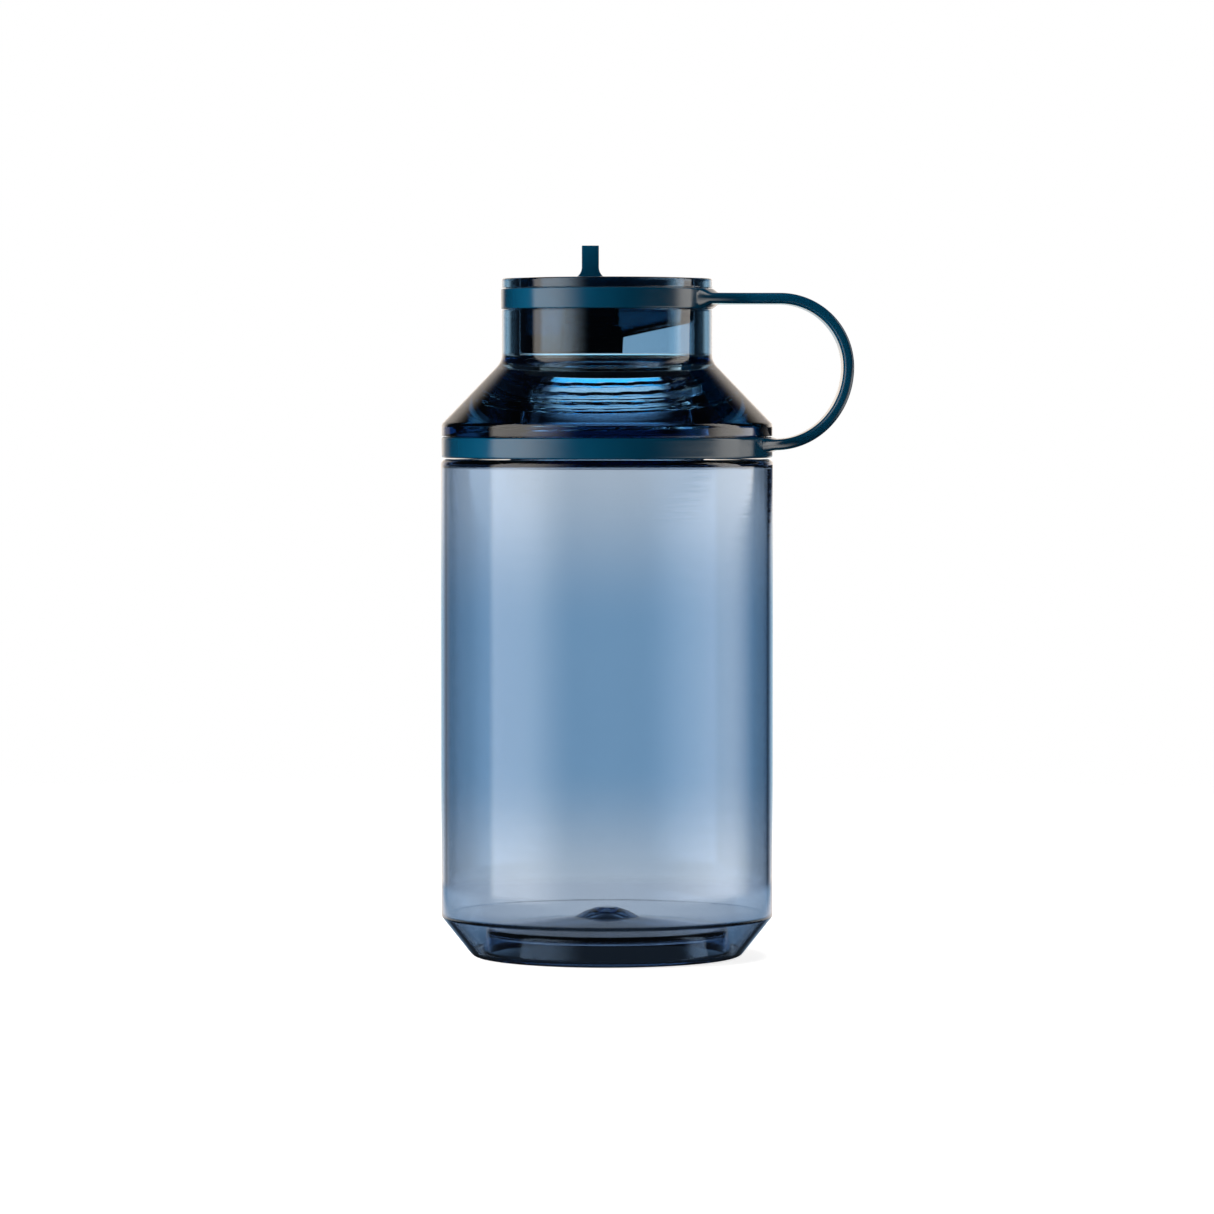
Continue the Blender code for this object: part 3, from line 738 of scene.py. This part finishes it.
def strap():
    path, section = strap_path(), strap_section()
    along = np.gradient(path, axis=0)
    along /= np.linalg.norm(along, axis=1)[:, None]
    normal = np.stack([-along[:, 1], along[:, 0]], axis=-1)
    rings, around = len(path), len(section)
    verts = np.zeros((rings, around, 3))
    verts[..., 0] = path[:, None, 0] + normal[:, None, 0] * section[None, :, 1]
    verts[..., 2] = path[:, None, 1] + normal[:, None, 1] * section[None, :, 1]
    verts[..., 1] = section[None, :, 0]
    verts = flare(verts.reshape(-1, 3))
    faces = []
    for i in range(rings - 1):
        for j in range(around):
            k = (j + 1) % around
            faces.append((i * around + j, (i + 1) * around + j, (i + 1) * around + k, i * around + k))
    faces.append(tuple(range(around)))
    faces.append(tuple(reversed(range((rings - 1) * around, rings * around))))
    mesh = bpy.data.meshes.new("strap")
    mesh.from_pydata(verts.tolist(), [], faces)
    work = bmesh.new()
    work.from_mesh(mesh)
    bmesh.ops.recalc_face_normals(work, faces=work.faces)
    work.to_mesh(mesh)
    work.free()
    return add("silicone_handle", mesh)


def band(name, radius, low, high, fillet):
    corners = [
        (radius - BAND_DEPTH, high, FINE_EDGE),
        (radius, high, fillet),
        (radius, low, fillet),
        (radius - BAND_DEPTH, low, FINE_EDGE),
    ]
    return turned(name, corners)


def handle(look):
    whole = strap()
    for radius, (low, high) in ((UPPER_BAND_R, UPPER_BAND_Z), (SKIRT_R, LOWER_BAND_Z)):
        core_r = radius - CORE_INSET
        low, high = low - CORE_BELOW, high + CORE_ABOVE
        core = turned("core", [(0, high, 0), (core_r, high, 0), (core_r, low, 0), (0, low, 0)], closed=False)
        boolean(whole, "DIFFERENCE", core)
    boolean(whole, "UNION", band("upper_band", UPPER_BAND_R, *UPPER_BAND_Z, 0.5 * MM))
    boolean(whole, "UNION", band("lower_band", SKIRT_R, *LOWER_BAND_Z, 0.7 * MM))
    return finish(whole, look, "carry_handle", "lid")


# ---------------------------------------------------------------- stage, light and camera


def window(tree, value, start, full, last, end):
    """1 between full and last, easing to 0 at start and at end."""
    return calc(tree, "MULTIPLY", ramp(tree, value, start, full), ramp(tree, value, end, last))


def product(tree, *factors):
    made = factors[0]
    for factor in factors[1:]:
        made = calc(tree, "MULTIPLY", made, factor)
    return made


def between(tree, amount, low, high):
    """The mixture of two values that goes from low to high with the amount."""
    return calc(tree, "ADD", low, calc(tree, "MULTIPLY", amount, calc(tree, "SUBTRACT", high, low)))


def camera_axis(tree, axis):
    """One of the camera's own axes, as parts of a direction in the room, and the direction itself."""
    turn = {"vector_type": "VECTOR", "convert_from": "CAMERA", "convert_to": "WORLD"}
    vector = new_node(tree, "ShaderNodeVectorTransform", {"Vector": axis}, **turn).outputs["Vector"]
    return new_node(tree, "ShaderNodeSeparateXYZ", {"Vector": vector}).outputs, vector


def further_down(tree):
    """How much further down the camera looks than in the main view."""
    ahead, _ = camera_axis(tree, (0, 0, 1))
    return calc(tree, "SUBTRACT", calc(tree, "MULTIPLY", ahead["Z"], -1.0), CAMERA_TIP)


def facing(tree, vector):
    """A vector's parts across, away and up, as the camera sees them: the studio turns and tips with it."""
    parts, right = camera_axis(tree, (1, 0, 0))
    back = calc(tree, "MULTIPLY", parts["Y"], -1.0)
    away = new_node(tree, "ShaderNodeCombineXYZ", {"X": back, "Y": parts["X"], "Z": 0.0}).outputs[0]
    made = []
    for axis in (right, away):
        dot = new_node(tree, "ShaderNodeVectorMath", {0: vector, 1: axis}, operation="DOT_PRODUCT")
        made.append(dot.outputs["Value"])
    height = new_node(tree, "ShaderNodeSeparateXYZ", {"Vector": vector}).outputs["Z"]
    return made[0], made[1], calc(tree, "ADD", height, further_down(tree))


def scaled(tree, vector, factor):
    values = {0: vector, "Scale": factor}
    return new_node(tree, "ShaderNodeVectorMath", values, operation="SCALE").outputs[0]


def length(tree, vector):
    return new_node(tree, "ShaderNodeVectorMath", {0: vector}, operation="LENGTH").outputs["Value"]


def mix_shaders(tree, factor, first, second):
    return new_node(tree, "ShaderNodeMixShader", {0: factor, 1: first, 2: second}).outputs[0]


def ray_is(tree, kind):
    return new_node(tree, "ShaderNodeLightPath").outputs[f"Is {kind} Ray"]


def backdrop_light(tree, up, azimuth):
    """The lit backdrop: bright near the horizon and near the floor, bluer and darker between."""
    turned_away = calc(tree, "ABSOLUTE", azimuth)
    colour = blend_colours(tree, window(tree, up, *BACKDROP_DIP), BACKDROP, BACKDROP_LOW)
    steepest = product(tree, ramp(tree, up, *STEEPEST), ramp(tree, turned_away, *STEEPEST_BEARING))
    colour = blend_colours(tree, steepest, colour, BACKDROP_STEEP)
    at_band = window(tree, up, *BODY_TO_BAND, *BAND_TO_NECK)
    delay = product(tree, at_band, ramp(tree, azimuth, *BAND_DELAY_SIDE, 0.0, BAND_DELAY))
    delay = calc(tree, "SUBTRACT", delay, product(tree, ramp(tree, up, *BAND_TO_NECK), NECK_LEAD))
    wide = ramp(tree, calc(tree, "SUBTRACT", turned_away, delay), *BACKDROP_WIDE)
    narrow = ramp(tree, turned_away, *BACKDROP_NARROW)
    width = between(tree, ramp(tree, up, *NARROW_BELOW), wide, narrow)
    shown = product(tree, width, ramp(tree, up, *BACKDROP_TOP), ramp(tree, up, *UPPER_DIMMING))
    return blend_colours(tree, shown, DARK_ROOM, colour)


def right_panel(tree, up, azimuth):
    """1 where the right panel is full: wide for the body, and narrower for the lower band and the neck."""
    neck = ramp(tree, up, *BAND_TO_NECK)
    start = ramp(tree, up, *RIGHT_START_LEVELS, *RIGHT_START)
    start = calc(tree, "ADD", start, product(tree, neck, NECK_START))
    last = ramp(tree, up, *BODY_TO_BAND, *RIGHT_LAST)
    last = calc(tree, "SUBTRACT", last, product(tree, neck, NECK_LAST))
    end = ramp(tree, neck, 0.0, 1.0, *RIGHT_END)
    return window(tree, azimuth, start, RIGHT_FULL, last, end)


def panel_light(tree, up, azimuth):
    """Two tall panels with hard edges away from the camera, which fade out towards it, and a weak fill."""
    scattered = ray_is(tree, "Diffuse")
    left = window(tree, azimuth, *LEFT_BEARING)
    left = product(tree, left, ramp(tree, scattered, 0.0, 1.0, LEFT_PANEL, LEFT_PANEL * SOFT_LEFT))
    fill = product(tree, window(tree, azimuth, *FILL_BEARING), LEFT_FILL, ramp(tree, up, *FILL_TOP))
    right = right_panel(tree, up, azimuth)
    right = product(tree, right, ramp(tree, scattered, 0.0, 1.0, RIGHT_PANEL, RIGHT_PANEL * SOFT_RIGHT))
    weaker = ramp(tree, window(tree, up, *BACKDROP_DIP), 0.0, 1.0, 1.0, 1.0 - PANEL_DIP)
    both = calc(tree, "ADD", calc(tree, "ADD", left, fill), right)
    strength = product(tree, both, window(tree, up, *PANEL_HEIGHT), weaker)
    return scaled(tree, PANEL_COLOUR, strength)


def studio_world():
    """White to the camera. To the jug it is a dark room with a lit backdrop and two tall lit panels."""
    world = bpy.data.worlds.new("studio")
    world.use_nodes = True
    bpy.context.scene.world = world
    tree = world.node_tree
    tree.nodes.clear()
    direction = new_node(tree, "ShaderNodeTexCoord").outputs["Generated"]
    across, away, up = facing(tree, direction)
    towards = calc(tree, "MULTIPLY", away, -1.0)
    azimuth = calc(tree, "MULTIPLY", calc(tree, "ARCTAN2", across, towards), 180 / math.pi)
    room, panels = backdrop_light(tree, up, azimuth), panel_light(tree, up, azimuth)
    lit = new_node(tree, "ShaderNodeVectorMath", {0: room, 1: panels}, operation="ADD").outputs[0]
    colour = blend_colours(tree, ray_is(tree, "Camera"), lit, (1, 1, 1))
    shader = new_node(tree, "ShaderNodeBackground", {"Color": colour, "Strength": 1.0})
    new_node(tree, "ShaderNodeOutputWorld", {"Surface": shader.outputs[0]})


def overhead_lamp():
    """A soft square lamp above the jug, which lights the floor and the top of the lid."""
    data = bpy.data.lights.new("overhead", "AREA")
    data.shape = "SQUARE"
    data.size = LAMP_SIZE
    data.energy = LAMP_POWER
    lamp = bpy.data.objects.new("overhead", data)
    bpy.context.scene.collection.objects.link(lamp)
    lamp.location = (JUG_X, 0, LAMP_Z)
    lamp.visible_glossy = False
    lamp.visible_transmission = False


def floor_as_shown(tree, away, clear):
    """The matt pale floor that the camera sees. It fades out into the backdrop."""
    grain = noise(tree, object_point(tree), 300.0, 3.0)
    values = {
        "Base Color": blend_colours(tree, grain, (0.86, 0.865, 0.87), (0.88, 0.885, 0.89)),
        "Roughness": 0.9,
        "Emission Color": (1, 1, 1, 1),
        "Emission Strength": FLOOR_GLOW,
    }
    matt = new_node(tree, "ShaderNodeBsdfPrincipled", values).outputs["BSDF"]
    return mix_shaders(tree, ramp(tree, away, *FLOOR_FADE), matt, clear)


def floor_as_lit(tree, away, clear):
    """The floor as the jug sees it: dark by its foot, lit behind it, and brightest in steep directions."""
    across, back, _ = facing(tree, object_point(tree))
    aside = calc(tree, "ABSOLUTE", across)
    incoming = new_node(tree, "ShaderNodeNewGeometry").outputs["Incoming"]
    heading = scaled(tree, incoming, -1.0)
    steep = ramp(tree, facing(tree, heading)[2], *STEEP_FROM)
    level = calc(tree, "SUBTRACT", 1.0, steep)
    behind = product(tree, ramp(tree, back, *BEHIND_JUG), level)
    shrink = calc(tree, "ADD", 1.0, product(tree, further_down(tree), SHADE_SHRINK))
    shade = ramp(tree, product(tree, away, shrink), *FOOT_SHADE)
    beside = product(tree, ramp(tree, aside, *SIDE_ASIDE), behind)
    lit = blend_colours(tree, beside, FLOOR_NEAR, FLOOR_SIDE)
    far = product(tree, ramp(tree, aside, *FAR_ASIDE), shade, behind)
    lit = blend_colours(tree, far, lit, FLOOR_FAR)
    beyond = product(tree, ramp(tree, away, *BEYOND_FROM), ramp(tree, aside, *BEYOND_ASIDE), steep)
    lit = blend_colours(tree, beyond, lit, FLOOR_BEYOND)
    glow = new_node(tree, "ShaderNodeEmission", {"Color": lit}).outputs[0]
    # The cone of the lid shows the far edge in steep directions as a bright crescent.
    spread = new_node(tree, "ShaderNodeCombineXYZ", {"X": product(tree, across, STEEP_SPREAD), "Y": back})
    distance = length(tree, spread.outputs[0])
    edge = between(tree, steep, ramp(tree, away, *LEVEL_END), ramp(tree, distance, *STEEP_END))
    return mix_shaders(tree, edge, glow, clear)


def pale_floor():
    """A pale disc under the jug, which looks different to the camera and to the jug."""
    mesh = bpy.data.meshes.new("floor")
    work = bmesh.new()
    bmesh.ops.create_circle(work, cap_ends=True, radius=FLOOR_R, segments=96)
    work.to_mesh(mesh)
    work.free()
    floor = add("floor", mesh)
    floor.location.z = FLOOR_Z
    made, tree = empty_material("pale_floor")
    away = length(tree, object_point(tree))
    clear = new_node(tree, "ShaderNodeBsdfTransparent").outputs[0]
    shown, lit = floor_as_shown(tree, away, clear), floor_as_lit(tree, away, clear)
    both = mix_shaders(tree, ray_is(tree, "Camera"), lit, shown)
    new_node(tree, "ShaderNodeOutputMaterial", {"Surface": both})
    mesh.materials.append(made)


def photo_camera():
    data = bpy.data.cameras.new("camera")
    data.sensor_width = 36
    data.lens = CAMERA_LENS
    data.clip_end = 100
    camera = bpy.data.objects.new("camera", data)
    bpy.context.scene.collection.objects.link(camera)
    place, target = Vector((JUG_X, *CAMERA_AT)), Vector((JUG_X, 0, CAMERA_AIM_Z))
    camera.location = place
    camera.rotation_euler = (target - place).to_track_quat("-Z", "Y").to_euler()
    bpy.context.scene.camera = camera


def light_settings():
    scene = bpy.context.scene
    scene.view_settings.view_transform = "Standard"
    scene.cycles.max_bounces = LIGHT_BOUNCES
    scene.cycles.transmission_bounces = LIGHT_BOUNCES
    scene.cycles.glossy_bounces = GLOSSY_BOUNCES
    scene.cycles.transparent_max_bounces = CLEAR_BOUNCES


clear_body = clear_plastic("clear_bottle", BODY_ABSORB, flow=0.05, deep_tint=(0.95, 0.97, 0.99))
# The lid's material carries painted shade on its neck and its skirt.
clear_lid = clear_plastic("clear_lid", LID_ABSORB, flow=0.035, deep_tint=(0.97, 0.98, 0.99), painted_shades=LID_PAINTED_SHADES)
dark_deck = clear_plastic("dark_deck", DECK_ABSORB, flow=0.16, deep_tint=(0.93, 0.96, 0.99))
teal = silicone("teal_silicone", TEAL, rough=0.13)
seal = silicone("seal_silicone", SEAL_DARK, rough=0.5)

bottle(clear_body)
screw_lid(clear_lid)
deck(dark_deck)
gasket(seal)
stopper(teal)
handle(teal)
studio_world()
overhead_lamp()
pale_floor()
photo_camera()
light_settings()
